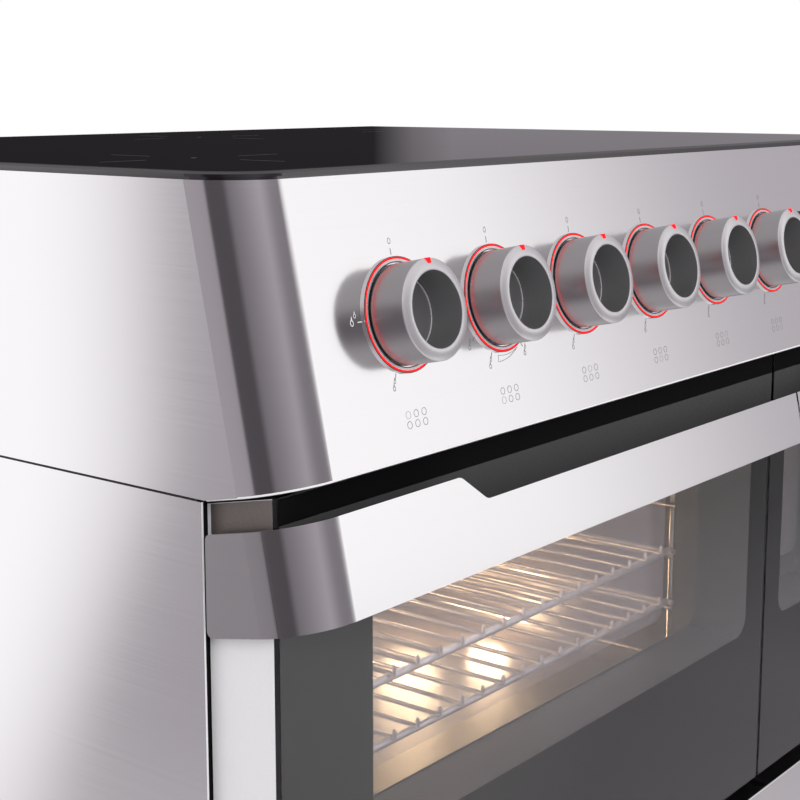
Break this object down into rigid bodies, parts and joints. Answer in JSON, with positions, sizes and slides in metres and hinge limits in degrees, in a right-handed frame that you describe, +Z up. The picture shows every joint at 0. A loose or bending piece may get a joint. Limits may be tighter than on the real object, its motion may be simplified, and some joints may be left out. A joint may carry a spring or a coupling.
{
  "type": "induction range cooker",
  "caption": "Freestanding range cooker with flat glass hob, slanted wrap-around control panel with cup knobs, wide and narrow drop-down ovens, notched handle bar and storage drawer.",
  "frame": {"origin": "middle of the footprint on the floor, under the feet", "axes": "+Z up, +Y towards the back, +X to the right as the user faces the front"},
  "size_m": [0.895, 0.6932, 0.9],
  "materials": {
    "bezel": "satin with dark edge",
    "black_plastic": "moulded",
    "brushed_steel": "brushed",
    "chrome_wire": "chromed wire",
    "clear_glass": "clear",
    "coil": "lacquered copper winding",
    "display_glass": "polished black glass",
    "door_glass": "tinted, dark printed border",
    "enamel": "dark vitreous enamel",
    "frame_steel": "satin",
    "heater": "oxidised tube",
    "hob_glass": "polished black glass ceramic",
    "knob_steel": "turned, satin",
    "led": "red light guide",
    "leg": "satin",
    "motor": "plated",
    "seal": "matt",
    "zinc_sheet": "galvanised"
  },
  "bodies": {
    "cooker_body": {"base_pan": "zinc_sheet", "cable_gland": "black_plastic", "chassis_deck": "zinc_sheet", "coil_tray": "zinc_sheet", "control_panel": "brushed_steel", "display_glass": "display_glass", "display_module": "black_plastic", "door_seals": "seal", "drawer_runners": "zinc_sheet", "fan_baffle": "enamel", "fan_motor": "motor", "front_frame": "enamel", "grill_heater": "heater", "hinge_receivers": "zinc_sheet", "hob_glass": "hob_glass", "hob_trim": "brushed_steel", "induction_coils": "coil", "knob_bezels": "bezel", "led_rings": "led", "leg_sleeves": "leg", "main_oven_cavity": "enamel", "main_rack_lower": "chrome_wire", "main_rack_upper": "chrome_wire", "oven_lamps": "clear_glass", "oven_shelf": "zinc_sheet", "rack_guides": "chrome_wire", "rear_panel": "zinc_sheet", "ring_heater": "heater", "side_oven_cavity": "enamel", "side_panel_left": "brushed_steel", "side_panel_right": "brushed_steel", "side_rack": "chrome_wire", "terminal_box": "black_plastic", "zone_switches": "black_plastic"},
    "main_door": {"main_door_frame": "frame_steel", "main_door_hinges": "zinc_sheet", "main_handle_bar": "brushed_steel", "main_bar_brackets": "frame_steel", "main_door_outer_glass": "door_glass", "main_door_inner_glass": "clear_glass"},
    "side_door": {"side_door_frame": "frame_steel", "side_door_hinges": "zinc_sheet", "side_handle_bar": "brushed_steel", "side_bar_brackets": "frame_steel", "side_door_outer_glass": "door_glass", "side_door_inner_glass": "clear_glass"},
    "drawer": {"drawer_front": "brushed_steel", "drawer_box": "zinc_sheet", "drawer_slides": "zinc_sheet"},
    "fan": {"convection_fan": "zinc_sheet"},
    "knob_body_1": {"knob_1": "knob_steel"},
    "knob_body_2": {"knob_2": "knob_steel"},
    "knob_body_3": {"knob_3": "knob_steel"},
    "knob_body_4": {"knob_4": "knob_steel"},
    "knob_body_5": {"knob_5": "knob_steel"},
    "knob_body_6": {"knob_6": "knob_steel"},
    "foot_body_front_left": {"foot_front_left": "leg"},
    "foot_body_front_right": {"foot_front_right": "leg"},
    "foot_body_rear_left": {"foot_rear_left": "leg"},
    "foot_body_rear_right": {"foot_rear_right": "leg"}
  },
  "joints": [
    {"name": "knob_1_turn", "type": "hinge", "parent": "cooker_body", "child": "knob_body_1", "pos_m": [-0.3235, -0.3116, 0.80991], "axis": [0, -0.9781, 0.2079], "range_deg": [0, 180]},
    {"name": "knob_2_turn", "type": "hinge", "parent": "cooker_body", "child": "knob_body_2", "pos_m": [-0.2235, -0.3116, 0.80991], "axis": [0, -0.9781, 0.2079], "range_deg": [0, 210]},
    {"name": "knob_3_turn", "type": "hinge", "parent": "cooker_body", "child": "knob_body_3", "pos_m": [-0.1235, -0.3116, 0.80991], "axis": [0, -0.9781, 0.2079], "range_deg": [0, 180]},
    {"name": "knob_4_turn", "type": "hinge", "parent": "cooker_body", "child": "knob_body_4", "pos_m": [-0.0235, -0.3116, 0.80991], "axis": [0, -0.9781, 0.2079], "range_deg": [0, 180]},
    {"name": "knob_5_turn", "type": "hinge", "parent": "cooker_body", "child": "knob_body_5", "pos_m": [0.0765, -0.3116, 0.80991], "axis": [0, -0.9781, 0.2079], "range_deg": [0, 180]},
    {"name": "knob_6_turn", "type": "hinge", "parent": "cooker_body", "child": "knob_body_6", "pos_m": [0.1765, -0.3116, 0.80991], "axis": [0, -0.9781, 0.2079], "range_deg": [0, 180]},
    {"name": "main_door_hinge", "type": "hinge", "parent": "cooker_body", "child": "main_door", "pos_m": [0, -0.29363, 0.36807], "axis": [1, 0, 0], "range_deg": [0, 90]},
    {"name": "side_door_hinge", "type": "hinge", "parent": "cooker_body", "child": "side_door", "pos_m": [0, -0.29363, 0.36807], "axis": [1, 0, 0], "range_deg": [0, 90]},
    {"name": "drawer_slide", "type": "slide", "parent": "cooker_body", "child": "drawer", "axis": [0, -1, 0], "range_m": [0, 0.35]},
    {"name": "fan_spin", "type": "hinge", "parent": "cooker_body", "child": "fan", "pos_m": [-0.10325, 0.17687, 0.55599], "axis": [0, 1, 0], "continuous": true},
    {"name": "foot_front_left_level", "type": "slide", "parent": "cooker_body", "child": "foot_body_front_left", "axis": [0, 0, -1], "range_m": [0, 0.05]},
    {"name": "foot_front_right_level", "type": "slide", "parent": "cooker_body", "child": "foot_body_front_right", "axis": [0, 0, -1], "range_m": [0, 0.05]},
    {"name": "foot_rear_left_level", "type": "slide", "parent": "cooker_body", "child": "foot_body_rear_left", "axis": [0, 0, -1], "range_m": [0, 0.05]},
    {"name": "foot_rear_right_level", "type": "slide", "parent": "cooker_body", "child": "foot_body_rear_right", "axis": [0, 0, -1], "range_m": [0, 0.05]}
  ]
}
